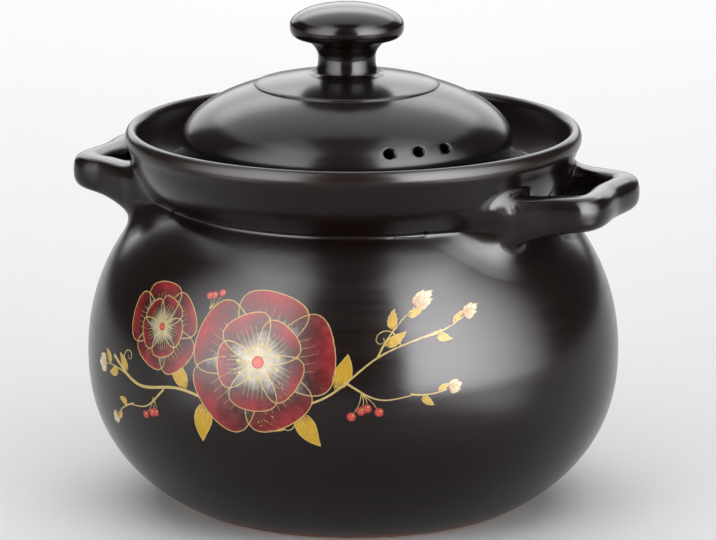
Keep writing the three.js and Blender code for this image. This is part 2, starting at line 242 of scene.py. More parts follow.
class NodeGraph:
    """A material's nodes, with short calls for the ones that the finishes share."""

    def __init__(self, name: str) -> None:
        """Starts a new material with no nodes."""
        self.material = bpy.data.materials.new(name)
        self.material.use_nodes = True
        self.nodes = self.material.node_tree.nodes
        self.links = self.material.node_tree.links
        self.nodes.clear()

    def add(
        self, kind: str, inputs: Mapping[object, object] | None = None, **settings: object
    ) -> bpy.types.Node:
        """Adds a node.

        Args:
            kind: The node's type.
            inputs: A value or another node's output for each input, by its name or number.
            **settings: Values for the node's own settings.

        Returns:
            The new node.
        """
        node = self.nodes.new(kind)
        for name, value in settings.items():
            setattr(node, name, value)
        for name, value in (inputs or {}).items():
            if isinstance(value, bpy.types.NodeSocket):
                self.links.new(value, node.inputs[name])
            else:
                node.inputs[name].default_value = value
        return node

    def place(self, scale: Sequence[float]) -> bpy.types.NodeSocket:
        """Object coordinates, stretched by a scale in each direction."""
        where = self.add("ShaderNodeTexCoord").outputs["Object"]
        return self.add("ShaderNodeMapping", {"Vector": where, "Scale": tuple(scale)}).outputs["Vector"]

    def noise(self, scale: Sequence[float], detail: float = 3.0, rough: float = 0.55) -> bpy.types.NodeSocket:
        """Noise on Object coordinates, whose grain is one over the scale in metres."""
        inputs = {"Vector": self.place(scale), "Scale": 1.0, "Detail": detail, "Roughness": rough}
        return self.add("ShaderNodeTexNoise", inputs).outputs[0]

    def attribute(self, name: str) -> bpy.types.NodeSocket:
        """A number stored on the mesh's points."""
        return self.add("ShaderNodeAttribute", attribute_name=name).outputs["Fac"]

    def height(self) -> bpy.types.NodeSocket:
        """The level above the table."""
        where = self.add("ShaderNodeTexCoord").outputs["Object"]
        return self.add("ShaderNodeSeparateXYZ", {"Vector": where}).outputs["Z"]

    def math(self, operation: str, first: object, second: object = 0.0) -> bpy.types.NodeSocket:
        """Sums, products and the like of two values."""
        return self.add("ShaderNodeMath", {0: first, 1: second}, operation=operation).outputs[0]

    def spread(
        self, value: object, low: float, high: float, to_low: float, to_high: float
    ) -> bpy.types.NodeSocket:
        """Maps a value from one range to another, and holds it there."""
        inputs = {"Value": value, "From Min": low, "From Max": high, "To Min": to_low, "To Max": to_high}
        return self.add("ShaderNodeMapRange", inputs).outputs["Result"]

    def blend(self, share: object, first: object, second: object) -> bpy.types.NodeSocket:
        """Mixes two colours."""
        first, second = (c if isinstance(c, bpy.types.NodeSocket) else (*c, 1.0) for c in (first, second))
        return self.add("ShaderNodeMix", {0: share, 6: first, 7: second}, data_type="RGBA").outputs[2]

    def bump(self, height: object, depth: float, under: object = None) -> bpy.types.NodeSocket:
        """Raises the surface by a height from 0 to 1 times a depth in metres."""
        inputs: dict[object, object] = {"Height": height, "Distance": depth, "Strength": 1.0}
        if under is not None:
            inputs["Normal"] = under
        return self.add("ShaderNodeBump", inputs).outputs["Normal"]

    def close(self, inputs: Mapping[object, object]) -> bpy.types.Material:
        """Ends the material in one shader with these inputs."""
        shader = self.add("ShaderNodeBsdfPrincipled", inputs)
        self.add("ShaderNodeOutputMaterial", {"Surface": shader.outputs["BSDF"]})
        return self.material


@dataclass(frozen=True)
class IronGlaze:
    """Dark iron glaze over red clay: nearly black where it pools, brown where it runs thin."""

    name: str
    roughness: float
    gloss: float = 0.25
    dark: Colour = (0.0062, 0.0024, 0.0022)
    warm: Colour = (0.0092, 0.0044, 0.0038)
    brown: Colour = (0.034, 0.016, 0.010)
    clay: Colour = (0.30, 0.125, 0.07)
    clay_shade: float = 0.62
    clay_line: float = 0.0022
    thin_wear: float = 0.4
    bare_wear: float = 0.6
    ring_depth: float = 0.000016
    streak_depth: float = 0.0000045
    peel_depth: float = 0.000006

    def material(self) -> bpy.types.Material:
        """Builds the glaze's nodes.

        Returns:
            The material.
        """
        graph = NodeGraph(self.name)
        pools = graph.noise((26, 26, 40), 4.0)
        rings = graph.noise((9, 9, 360), 3.0, 0.6)
        streaks = graph.noise((26, 26, 1500), 2.0, 0.6)
        peel = graph.noise((620, 620, 620), 2.0)
        specks = graph.spread(graph.noise((1300, 1300, 1300), 1.0), 0.70, 0.76, 0.0, 1.0)
        thin = graph.math("MULTIPLY", graph.attribute(THIN_LAYER), graph.spread(pools, 0.3, 0.7, 0.45, 1.0))
        wander = graph.spread(graph.noise((60, 60, 60), 3.0), 0.25, 0.75, -0.0012, 0.0012)
        bare = graph.spread(
            graph.math("ADD", graph.height(), wander), self.clay_line, self.clay_line + 0.0006, 1.0, 0.0
        )
        colour = graph.blend(graph.spread(pools, 0.35, 0.7, 0.0, 1.0), self.dark, self.warm)
        colour = graph.blend(graph.math("MULTIPLY", specks, 0.35), colour, self.brown)
        colour = graph.blend(thin, colour, self.brown)
        grain = graph.noise((900, 900, 900), 4.0, 0.65)
        shaded = tuple(self.clay_shade * c for c in self.clay)
        fired = graph.blend(graph.spread(grain, 0.3, 0.7, 0.0, 1.0), shaded, self.clay)
        colour = graph.blend(bare, colour, fired)
        even = graph.spread(rings, 0.3, 0.7, self.roughness - 0.025, self.roughness + 0.025)
        worn = graph.math("ADD", even, graph.math("MULTIPLY", thin, self.thin_wear))
        rough = graph.math("ADD", worn, graph.math("MULTIPLY", bare, self.bare_wear))
        normal = graph.bump(rings, self.ring_depth)
        normal = graph.bump(streaks, self.streak_depth, normal)
        normal = graph.bump(peel, self.peel_depth, normal)
        return graph.close(
            {"Base Color": colour, "Roughness": rough, "Normal": normal, "Specular IOR Level": self.gloss}
        )


@dataclass(frozen=True)
class PrintInk:
    """Fired enamel colour of the transfer print, which shades from its root to its tip."""

    name: str
    root: Colour
    middle: Colour
    tip: Colour
    middle_at: float = 0.35
    tip_at: float = 0.62
    roughness: float = 0.26
    gloss: float = 0.28

    def material(self) -> bpy.types.Material:
        """Builds the enamel's nodes.

        Returns:
            The material.
        """
        graph = NodeGraph(self.name)
        along = graph.attribute(ALONG_LAYER)
        grain = graph.noise((1500, 1500, 1500), 2.0)
        cloud = graph.noise((170, 170, 170), 3.0)
        shifted = graph.math("ADD", along, graph.spread(cloud, 0.3, 0.7, -0.10, 0.10))
        colour = graph.blend(graph.spread(shifted, 0.0, self.middle_at, 0.0, 1.0), self.root, self.middle)
        colour = graph.blend(graph.spread(shifted, self.middle_at, self.tip_at, 0.0, 1.0), colour, self.tip)
        pale = graph.spread(grain, 0.35, 0.65, 0.0, 0.22)
        colour = graph.blend(pale, colour, tuple(0.45 * c for c in self.tip))
        rough = graph.spread(cloud, 0.3, 0.7, self.roughness - 0.03, self.roughness + 0.05)
        normal = graph.bump(grain, 0.000006)
        return graph.close(
            {"Base Color": colour, "Roughness": rough, "Normal": normal, "Specular IOR Level": self.gloss}
        )


@dataclass(frozen=True)
class StudioPaper:
    """Pale matt paper of the studio floor."""

    name: str = "studio_paper"
    colour: Colour = (0.86, 0.86, 0.86)
    tooth_shade: float = 0.985

    def material(self) -> bpy.types.Material:
        """Builds the paper's nodes.

        Returns:
            The material.
        """
        graph = NodeGraph(self.name)
        tooth = graph.noise((350, 350, 350), 2.0)
        shaded = tuple(self.tooth_shade * c for c in self.colour)
        shade = graph.blend(graph.spread(tooth, 0.3, 0.7, 0.0, 1.0), shaded, self.colour)
        return graph.close({"Base Color": shade, "Roughness": 0.95, "Specular IOR Level": 0.1})


@dataclass
class PotBody:
    """The thrown pot: foot ring, belly, flared collar with a rolled rim, and the ledge that takes the lid."""

    glaze: IronGlaze
    belly_level: float = 0.071
    belly_fullness: float = 2.3
    shoulder_reach: float = 0.072
    foot_radius: float = 0.081
    foot_edge: float = 0.002
    foot_ring: float = 0.013
    foot_recess: float = 0.003
    floor_level: float = 0.012
    floor_fillet: float = 0.012
    wall: float = 0.007
    neck_radius: float = 0.0895
    neck_level: float = 0.1433
    neck_wall: float = 0.0115
    neck_fillet: float = 0.002
    collar_swell: float = 0.011
    collar_lift: float = 0.0092
    rim_radius: float = 0.1065
    rim_bead: float = 0.0058
    rim_roll: float = 0.0046
    rim_overhang: float = 0.0016
    rim_depth: float = 0.0093
    ledge_level: float = 0.154
    ledge_radius: float = 0.0915
    ledge_edge: float = 0.002
    ledge_fillet: float = 0.008
    sides: int = 240
    belly_radius: float = field(init=False)
    rim_level: float = field(init=False)

    def __post_init__(self) -> None:
        """Takes the belly and the rim from the solid, less the build of the print on the belly."""
        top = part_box("pot_body")[1]
        self.belly_radius = top.x - PRINT_BUILD
        self.rim_level = top.z

    def lower_belly(self, inset: float, level: float, steps: int) -> list[Point]:
        """Walks up the belly below its widest level.

        Args:
            inset: Depth under the outer face.
            level: Level of the first point.
            steps: Number of steps.

        Returns:
            The points, up to the widest level.
        """
        power = self.belly_fullness
        share = (1 - (self.foot_radius / self.belly_radius) ** power) ** (1 / power)
        depth = self.belly_level / share - inset
        lowest = math.asin(((self.belly_level - level) / depth) ** (power / 2))
        turns = [lowest * (1 - step / steps) for step in range(steps + 1)]
        return [
            (
                (self.belly_radius - inset) * math.cos(turn) ** (2 / power),
                self.belly_level - depth * math.sin(turn) ** (2 / power),
            )
            for turn in turns
        ]

    def shoulder(self, inset: float, radius: float, steps: int) -> list[Point]:
        """Walks from the widest level up the shoulder.

        Args:
            inset: Depth under the outer face.
            radius: Radius at which the walk ends.
            steps: Number of steps.

        Returns:
            The points.
        """
        centre = self.belly_radius - self.shoulder_reach
        share = math.sqrt(1 - ((self.neck_radius - centre) / self.shoulder_reach) ** 2)
        height = (self.neck_level - self.belly_level) / share - inset
        reach = self.shoulder_reach - inset
        end = math.degrees(math.acos((radius - centre) / reach))
        return arc((centre, self.belly_level), reach, height, 0, end, steps)

    def outer_face(self) -> list[Station]:
        """Walks up the outside of the pot.

        Returns:
            Stations from the foot edge to the rim's roll.
        """
        shoulder = self.shoulder(0, self.neck_radius + self.neck_fillet, 40)
        neck = (self.neck_radius, self.neck_level)
        swell = (self.neck_radius + self.collar_swell, self.neck_level + self.collar_lift)
        share = self.neck_fillet / math.dist(neck, swell)
        collar = tuple(a + (b - a) * share for a, b in zip(neck, swell))
        under = (self.rim_radius - self.rim_overhang, self.rim_level - self.rim_depth)
        crease = bend(shoulder[-1], neck, collar, 8)
        return [
            *stations(self.lower_belly(0, self.foot_edge, 44)),
            *stations(shoulder[1:]),
            *stations(crease[1:], 0.05),
            *stations(bend(collar, swell, under, 24)[1:-1]),
        ]

    def profile(self) -> list[Station]:
        """Walks round the whole wall.

        Returns:
            Stations from the axis under the pot to the axis on its floor.
        """
        ring_inner = self.foot_radius - self.foot_ring
        bead = self.rim_bead / 2
        bead_centre = (self.rim_radius - bead, self.rim_level - self.rim_roll)
        roll = arc(bead_centre, bead, self.rim_roll, -48, 180, 26)
        collar_inner = self.rim_radius - self.rim_bead - self.rim_overhang
        ledge_corner = (collar_inner, self.ledge_level + self.ledge_fillet)
        seat = bend(roll[-1], ledge_corner, (self.ledge_radius, self.ledge_level), 16)
        throat = self.neck_radius - self.neck_wall
        inner_shoulder = self.shoulder(self.wall, throat, 28)[::-1]
        inner_belly = self.lower_belly(self.wall, self.floor_level + self.floor_fillet / 2, 30)[::-1]
        floor_corner = (inner_belly[-1][0] - self.floor_fillet / 4, self.floor_level)
        floor_end = (inner_belly[-1][0] - self.floor_fillet, self.floor_level)
        foot_side = self.lower_belly(0, self.foot_edge, 1)[0]
        foot = bend((self.foot_radius - self.foot_edge, 0.0), (self.foot_radius, 0.0), foot_side, 6)
        ring_edge = bend((ring_inner - 0.001, 0.0004), (ring_inner, 0.0), (ring_inner + 0.002, 0.0), 4)
        edge = self.ledge_edge
        return [
            *stations([(0.0, self.foot_recess), (ring_inner - self.foot_recess, self.foot_recess)], 1.0),
            *stations(ring_edge, 1.0),
            *stations(foot[:-1], 0.8),
            *self.outer_face(),
            *stations(roll, 0.12),
            *stations(seat[1:7], 0.12),
            *stations(seat[7:], 0.2),
            *stations(arc((throat + edge, self.ledge_level - edge), edge, edge, 90, 180, 8), 0.2),
            *stations(inner_shoulder),
            *stations(inner_belly[1:]),
            *stations(bend(inner_belly[-1], floor_corner, floor_end, 8)[1:]),
            Station(0.0, self.floor_level),
        ]

    def build(self) -> tuple[bpy.types.Object, BVHTree]:
        """Turns the pot and dresses it.

        Returns:
            The piece, and a tree of its faces that handles and print are fitted to.
        """
        bm = turned(self.profile(), self.sides)
        tree = BVHTree.FromBMesh(bm)
        piece = into_piece(bm, "stew_pot", self.glaze.material(), 50)
        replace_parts(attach(piece, "pot"), "pot_body")
        return piece, tree


class Side(Enum):
    """The side of the pot that a handle is luted to, with its turn round the axis."""

    RIGHT = 0.0
    LEFT = math.pi


class Section(NamedTuple):
    """One section of a handle: its place, width, height above and below it, and how square it is."""

    place: Vector
    width: float
    above: float
    below: float
    fullness: float


@dataclass
class LoopHandle:
    """A loop of clay, pulled as a strip and smeared onto collar and shoulder at both roots."""

    glaze: IronGlaze
    bearing: float = math.radians(22.4)
    neck_radius: float = 0.0895
    neck_level: float = 0.1433
    root_reach: float = 0.0141
    root_rise: float = 0.0058
    rise: float = 0.0072
    web_run: float = 0.0065
    buried_run: float = 0.024
    buried_drop: float = 0.006
    knuckle_spread: float = 0.0262
    bar_half: float = 0.0074
    bar_dip: float = 0.0002
    smear: float = 0.020
    smear_top: float = 0.1662
    smear_fade: float = 0.013
    smear_passes: int = 14
    grain: float = 0.0012
    wedge: float = math.radians(68)
    sides: int = 88
    back_depth: float = 0.002
    back_step: float = 0.006
    wall_foot: float = 0.085
    wall_core: float = 0.03
    seam_reach: float = 0.0003
    seam_sink: float = 0.00006
    bar_clear: float = 0.0016
    outside: float = 0.2
    bar_reach: float = field(init=False)

    def __post_init__(self) -> None:
        """Takes the reach of the bar from the solid."""
        self.bar_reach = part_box("handle_right")[1].x - self.bar_half - self.bar_clear

    def sections(self) -> list[Section]:
        """Lays the sections of the loop.

        Returns:
            Sections from inside the wall at one root to inside it at the other.
        """
        lean = Vector((math.cos(self.bearing), -math.sin(self.bearing), 0.0))
        root_level = self.neck_level + self.root_rise
        root = lean * (self.neck_radius + self.root_reach) + Vector((0, 0, root_level))
        knuckle = Vector((self.bar_reach, -self.knuckle_spread, self.neck_level + self.rise))
        bar = Vector((self.bar_reach, 0.0, knuckle.z - self.bar_dip))
        run = (root - knuckle).normalized()
        web = root + (2 * run - lean).normalized() * self.web_run
        buried = root - lean * self.buried_run - Vector((0, 0, self.buried_drop))
        half = [
            Section(buried, 0.060, 0.010, 0.018, 2.0),
            Section(web, 0.0168, 0.0092, 0.0155, 2.4),
            Section(root, 0.0127, 0.00865, 0.0122, 3.6),
            Section((root + knuckle) / 2, 0.0131, 0.00845, 0.0088, 4.2),
            Section(knuckle, 0.0142, 0.00805, 0.00805, 2.8),
        ]
        over = Vector((1, -1, 1))
        mirrored = [one._replace(place=one.place * over) for one in reversed(half)]
        return [*half, Section(bar, 2 * self.bar_half, 0.0083, 0.0083, 2.3), *mirrored]

    def strands(self) -> list[list[Vector]]:
        """Runs lines along the loop's skin, from one buried end to the other.

        Returns:
            One line for each side of the section.
        """
        sections = self.sections()
        middle = flowing([one.place for one in sections], 28)
        sizes = flowing([Vector((one.width, one.above, one.below)) for one in sections], 28)
        powers = flowing([Vector((2 / one.fullness, 0, 0)) for one in sections], 28)
        lines: list[list[Vector]] = [[] for _ in range(self.sides)]
        for row, (spot, size, power) in enumerate(zip(middle, sizes, powers)):
            ahead = middle[min(row + 1, len(middle) - 1)] - middle[max(row - 1, 0)]
            across = ahead.cross(Vector((0, 0, 1))).normalized()
            upright = across.cross(ahead).normalized()
            for number, line in enumerate(lines):
                turn = math.tau * number / self.sides
                reach, lift = (
                    math.copysign(abs(part) ** power.x, part) for part in (math.cos(turn), math.sin(turn))
                )
                height = size.y if lift > 0 else size.z
                line.append(spot + across * (reach * size.x / 2) + upright * (lift * height))
        return lines

    def strip(self) -> bmesh.types.BMesh:
        """Lofts the bare strip, with both ends inside the wall.

        Returns:
            A closed mesh of the handle on the right.
        """
        rings = list(zip(*self.strands()))
        bm = bmesh.new()
        first = bmesh.ops.create_circle(bm, segments=self.sides, radius=self.bar_half)["verts"]
        for vert, spot in zip(first, rings[0]):
            vert.co = spot
        edges = list(bm.edges)
        for ring in rings[1:]:
            grown = bmesh.ops.extrude_edge_only(bm, edges=edges)["geom"]
            edges = [item for item in grown if isinstance(item, bmesh.types.BMEdge)]
            bm.verts.ensure_lookup_table()
            for vert, spot in zip(bm.verts[-self.sides:], ring):
                vert.co = spot
        self.close(bm)
        return bm

    def wall(self, outline: Sequence[Station]) -> bmesh.types.BMesh:
        """Cuts a wedge of the pot out, filled to near its axis, for the roots to be smeared onto.

        Args:
            outline: The pot's outside.

        Returns:
            A closed mesh.
        """
        face = [(one.radius, one.level) for one in outline if one.level > self.wall_foot]
        corners = [(self.wall_core, face[0][1]), *face, (self.wall_core, face[-1][1])]
        bm = bmesh.new()
        line = [bm.verts.new((radius, 0.0, level)) for radius, level in corners]
        slab = bm.faces.new(line)
        bmesh.ops.rotate(bm, verts=line, cent=(0, 0, 0), matrix=Matrix.Rotation(-self.wedge, 3, "Z"))
        whole = [slab, *slab.verts, *slab.edges]
        bmesh.ops.spin(bm, geom=whole, cent=(0, 0, 0), axis=(0, 0, 1), angle=2 * self.wedge, steps=72)
        self.close(bm)
        return bm

    @staticmethod
    def close(bm: bmesh.types.BMesh) -> None:
        """Closes a mesh's open ends and turns its faces outwards.

        Args:
            bm: The mesh.
        """
        bmesh.ops.remove_doubles(bm, verts=bm.verts, dist=WELD)
        bmesh.ops.holes_fill(bm, edges=[edge for edge in bm.edges if edge.is_boundary], sides=0)
        bmesh.ops.triangulate(bm, faces=[face for face in bm.faces if len(face.verts) > 4])
        bmesh.ops.recalc_face_normals(bm, faces=bm.faces)

    def trim(self, bm: bmesh.types.BMesh, skin: BVHTree, tree: BVHTree) -> None:
        """Cuts away what lies in the pot, far from the strip or over the smear.

        Args:
            bm: The cast lump of strip and wall.
            skin: Faces of the strip.
            tree: Faces of the pot.
        """
        ragged = []
        for vert in bm.verts:
            face, out = self.face_at(tree, vert.co)
            buried = (face - vert.co).dot(out) > 2 * self.grain
            to_skin, to_pot = self.gap(skin, vert.co)[0], self.gap(tree, vert.co)[0]
            deep = min(to_skin, to_pot) < -1.5 * self.grain
            if buried or deep or to_skin > self.smear + 3 * self.grain or vert.co.z > self.smear_top:
                ragged.append(vert)
        while ragged:
            bmesh.ops.delete(bm, geom=ragged, context="VERTS")
            ragged = [
                vert
                for vert in bm.verts
                if not vert.link_faces or sum(edge.is_boundary for edge in vert.link_edges) > 2
            ]

    def luted(self, outline: Sequence[Station], tree: BVHTree) -> bmesh.types.BMesh:
        """Joins the strip to the wall and smears the clay round both roots.

        Args:
            outline: The pot's outside.
            tree: Faces of the pot.

        Returns:
            The handle's skin, which ends just under the pot's face.
        """
        strip = self.strip()
        skin = BVHTree.FromBMesh(strip)
        joined = bmesh.new()
        for part in (self.wall(outline), strip):
            pour(part, joined)
        lump = into_piece(joined, "lump", None, 180)
        cast = lump.modifiers.new("cast", "REMESH")
        cast.mode, cast.voxel_size = "VOXEL", self.grain
        bm = frozen(lump)
        self.trim(bm, skin, tree)
        share: dict[bmesh.types.BMVert, float] = {}
        for vert in bm.verts:
            vert.co, share[vert] = self.settled(skin, tree, vert.co)
        axes = {"use_axis_x": True, "use_axis_y": True, "use_axis_z": True}
        for turn in range(self.smear_passes):
            soft = [vert for vert, near in share.items() if near > 0.1 + 0.9 * turn / self.smear_passes]
            bmesh.ops.smooth_vert(bm, verts=soft, factor=0.5, **axes)
        for vert in share:
            to_pot, out = self.gap(tree, vert.co)
            if to_pot < self.seam_reach:
                vert.co = vert.co - out * (self.seam_sink * min(1.0, 1 - to_pot / self.seam_reach))
        return bm

    def face_at(self, tree: BVHTree, spot: Vector) -> tuple[Vector, Vector]:
        """Finds the pot's outer face on a point's line to the axis.

        Args:
            tree: Faces of the pot.
            spot: The point.

        Returns:
            The place on the face, and the way outwards.
        """
        out = Vector((spot.x, spot.y, 0.0)).normalized()
        return tree.ray_cast(out * self.outside + Vector((0, 0, spot.z)), -out)[0], out

    @staticmethod
    def gap(tree: BVHTree, spot: Vector) -> tuple[float, Vector]:
        """Measures how far a point is outside a closed skin.

        Args:
            tree: Faces of the skin.
            spot: The point.

        Returns:
            The distance, less than 0 inside, and the way out.
        """
        nearest, normal, _, distance = tree.find_nearest(spot)
        if distance < WELD:
            return 0.0, normal
        sign = 1.0 if (spot - nearest).dot(normal) >= 0 else -1.0
        return sign * distance, (spot - nearest) * (sign / distance)

    def settled(self, skin: BVHTree, pot: BVHTree, spot: Vector) -> tuple[Vector, float]:
        """Moves a point onto the smooth union of the strip and the pot.

        Args:
            skin: Faces of the strip.
            pot: Faces of the pot.
            spot: The point, close to the union.

        Returns:
            The point on the smeared face, and how much of both it lies in, from 0 to 1.
        """
        near = 0.0
        for _ in range(5):
            (to_skin, off_skin), (to_pot, off_pot) = self.gap(skin, spot), self.gap(pot, spot)
            reach = self.smear * min(1.0, max(0.02, (self.smear_top - spot.z) / self.smear_fade))
            near = max(0.0, 1 - abs(to_skin - to_pot) / reach)
            height = min(to_skin, to_pot) - reach * near**3 / 6
            first, second = (off_skin, off_pot) if to_skin < to_pot else (off_pot, off_skin)
            slope = first * (1 - near * near / 2) + second * (near * near / 2)
            spot = spot - slope * (height / max(slope.length_squared, 0.3))
        return spot, near

    def back(self, bm: bmesh.types.BMesh, tree: BVHTree) -> None:
        """Closes the skin with a back that lies in the wall and follows its face.

        Args:
            bm: The open skin.
            tree: Faces of the pot.
        """
        edges = [edge for edge in bm.edges if edge.is_boundary]
        grown = bmesh.ops.extrude_edge_only(bm, edges=edges)["geom"]
        self.sink(points_of(grown), tree)
        self.close(bm)
        for _ in range(6):
            long = [edge for edge in bm.edges if edge.calc_length() > self.back_step]
            if not long:
                break
            grown = bmesh.ops.subdivide_edges(bm, edges=long, cuts=1)["geom_inner"]
            self.sink(points_of(grown), tree)
            bmesh.ops.triangulate(bm, faces=[face for face in bm.faces if len(face.verts) > 4])
        bmesh.ops.recalc_face_normals(bm, faces=bm.faces)

    def sink(self, verts: Sequence[bmesh.types.BMVert], tree: BVHTree) -> None:
        """Sets points just under the pot's face, each on its own line to the axis.

        Args:
            verts: The points.
            tree: Faces of the pot.
        """
        for vert in verts:
            face, out = self.face_at(tree, vert.co)
            vert.co = face - out * self.back_depth

    def build(self, outline: Sequence[Station], tree: BVHTree) -> list[bpy.types.Object]:
        """Models the handle, dresses it and sets it on both sides.

        Args:
            outline: The pot's outside.
            tree: Faces of the pot, which the handles are luted to.

        Returns:
            The pieces.
        """
        draft = into_piece(self.luted(outline, tree), "draft", None, 180)
        fine = draft.modifiers.new("fine", "SUBSURF")
        fine.levels = fine.render_levels = 1
        bm = frozen(draft)
        bm.verts.layers.float.new(THIN_LAYER)
        self.back(bm, tree)
        material = self.glaze.material()
        pieces = []
        for side in Side:
            turned_bm = bm.copy()
            turn = Matrix.Rotation(side.value, 3, "Z")
            bmesh.ops.rotate(turned_bm, verts=turned_bm.verts, cent=(0, 0, 0), matrix=turn)
            node = f"handle_{side.name.lower()}"
            piece = into_piece(turned_bm, f"loop_{node}", material, 60)
            pieces.append(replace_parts(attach(piece, "pot"), node))
        bm.free()
        return pieces


@dataclass
class DomedLid:
    """The loose lid: seating brim, dome, raised crown disc and three steam vents."""

    glaze: IronGlaze
    wall: float = 0.006
    brim_radius: float = 0.0875
    brim_width: float = 0.010
    brim_thickness: float = 0.0047
    dome_tuck: float = 0.0021
    dome_level: float = 0.0157
    dome_height: float = 0.0311
    crown_radius: float = 0.0429
    crown_step: float = 0.0007
    crown_crease: float = 0.0007
    brim_run: float = 0.0015
    foot_round: float = 0.0005
    sharp_from: float = 42.0
    vents: int = 3
    vent_radius: float = 0.0022
    vent_round: float = 0.0014
    vent_spacing: float = 0.0143
    vent_rise: float = 0.0081
    vent_bearing: float = math.radians(-41.6)
    sides: int = 224
    centre: Vector = field(init=False)

    def __post_init__(self) -> None:
        """Takes the lid's place from the solid."""
        low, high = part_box("lid")
        self.centre = Vector(((low.x + high.x) / 2, (low.y + high.y) / 2, low.z))

    @property
    def dome_radius(self) -> float:
        """Radius of the dome at its foot."""
        return self.brim_radius - self.brim_width

    def dome_at(self, radius: float) -> float:
        """Level of the dome's face at a radius, over the brim's underside."""
        return self.dome_level + self.dome_height * math.sqrt(1 - (radius / self.dome_radius) ** 2)

    def profile(self) -> list[Station]:
        """Walks round the lid's wall.

        Returns:
            Stations from the axis under the dome to the axis on the crown.
        """
        inner = (self.dome_radius - self.wall, self.dome_height - self.wall)
        half = self.brim_thickness / 2
        edge = self.brim_radius - half
        brim_top = (self.dome_radius + self.brim_run, self.brim_thickness)
        tuck = (self.dome_radius - 2 * self.dome_tuck, self.brim_thickness)
        crown_turn = math.degrees(math.acos(self.crown_radius / self.dome_radius))
        rim = self.crown_radius - self.crown_step
        crown_foot = (self.crown_radius, self.dome_at(self.crown_radius))
        crown_top = (rim, self.dome_at(rim) + self.crown_step)
        crease = (crown_foot[0] + self.crown_crease, self.dome_at(crown_foot[0] + self.crown_crease))
        step_foot = (crown_foot[0] - 0.0001, crown_foot[1] + 0.0006)
        step_top = (crown_foot[0] - 0.00015, crown_foot[1] + 0.0007)
        shoulder = (self.crown_radius - 0.0002, crown_top[1] - 0.0004)
        crown = [(rim * (1 - step / 24), 0.0) for step in range(1, 25)]
        return [
            *stations(arc((0, self.dome_level), *inner, 90, 0, 36)),
            *stations([(inner[0], self.foot_round), (inner[0] + self.foot_round, 0.0)], 0.5),
            *stations(arc((edge, half), half, half, -90, 90, 14), 0.4),
            *stations(bend(brim_top, tuck, (self.dome_radius, self.dome_level), 12)),
            *stations(arc((0, self.dome_level), self.dome_radius, self.dome_height, 0, crown_turn, 44)[1:-1]),
            *stations(bend(crease, crown_foot, step_foot, 4)),
            *stations(bend(step_top, shoulder, crown_top, 7), 0.3),
            *stations([(radius, self.dome_at(radius) + self.crown_step) for radius, _ in crown]),
        ]

    def vent_cutter(self) -> bpy.types.Object:
        """Turns the three drills with their rounded mouths.

        Returns:
            An object for the boolean cut, removed after it.
        """
        reach = self.dome_radius * math.sqrt(1 - (self.vent_rise / self.dome_height) ** 2)
        level = self.dome_level + self.vent_rise
        slope = math.atan2(self.vent_rise / self.dome_height**2, reach / self.dome_radius**2)
        curve = self.vent_round
        mouth = arc((self.vent_radius + curve, -curve), curve, curve, 180, 102, 8)
        flare = self.vent_radius + 2 * self.vent_round
        outline = [(0.0, -0.012), (self.vent_radius, -0.012), *mouth, (flare, 0.004), (0.0, 0.004)]
        whole = bmesh.new()
        for number in range(self.vents):
            bearing = self.vent_bearing + (number - (self.vents - 1) / 2) * self.vent_spacing / reach
            drill = turned(stations(outline, 0.25), 40)
            turn = Matrix.Rotation(bearing, 4, "Z") @ Matrix.Translation((reach, 0, level))
            tilt = Matrix.Rotation(math.pi / 2 - slope, 4, "Y")
            drill.transform(Matrix.Translation(self.centre) @ turn @ tilt)
            pour(drill, whole)
        return into_piece(whole, "vent_drills", bpy.data.materials.new("vent_drill"), 50)

    def build(self) -> bpy.types.Object:
        """Turns the lid, drills its vents and dresses it.

        Returns:
            The piece.
        """
        bm = turned(self.profile(), self.sides)
        bmesh.ops.translate(bm, verts=bm.verts, vec=self.centre)
        piece = into_piece(bm, "domed_lid", self.glaze.material(), self.sharp_from)
        cutter = self.vent_cutter()
        cut = piece.modifiers.new("vents", "BOOLEAN")
        cut.operation, cut.solver, cut.object = "DIFFERENCE", "EXACT", cutter
        drilled = piece.evaluated_get(bpy.context.evaluated_depsgraph_get())
        mesh = bpy.data.meshes.new_from_object(drilled)
        piece.modifiers.clear()
        plain, piece.data = piece.data, mesh
        bpy.data.meshes.remove(plain)
        mesh.name = piece.name
        while len(mesh.materials) > 1:
            mesh.materials.pop(index=len(mesh.materials) - 1)
        mesh.polygons.foreach_set("material_index", [0] * len(mesh.polygons))
        mesh.set_sharp_from_angle(angle=math.radians(self.sharp_from))
        drills = cutter.data
        bpy.data.objects.remove(cutter)
        bpy.data.materials.remove(drills.materials[0])
        bpy.data.meshes.remove(drills)
        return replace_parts(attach(piece, "lid"), "lid")


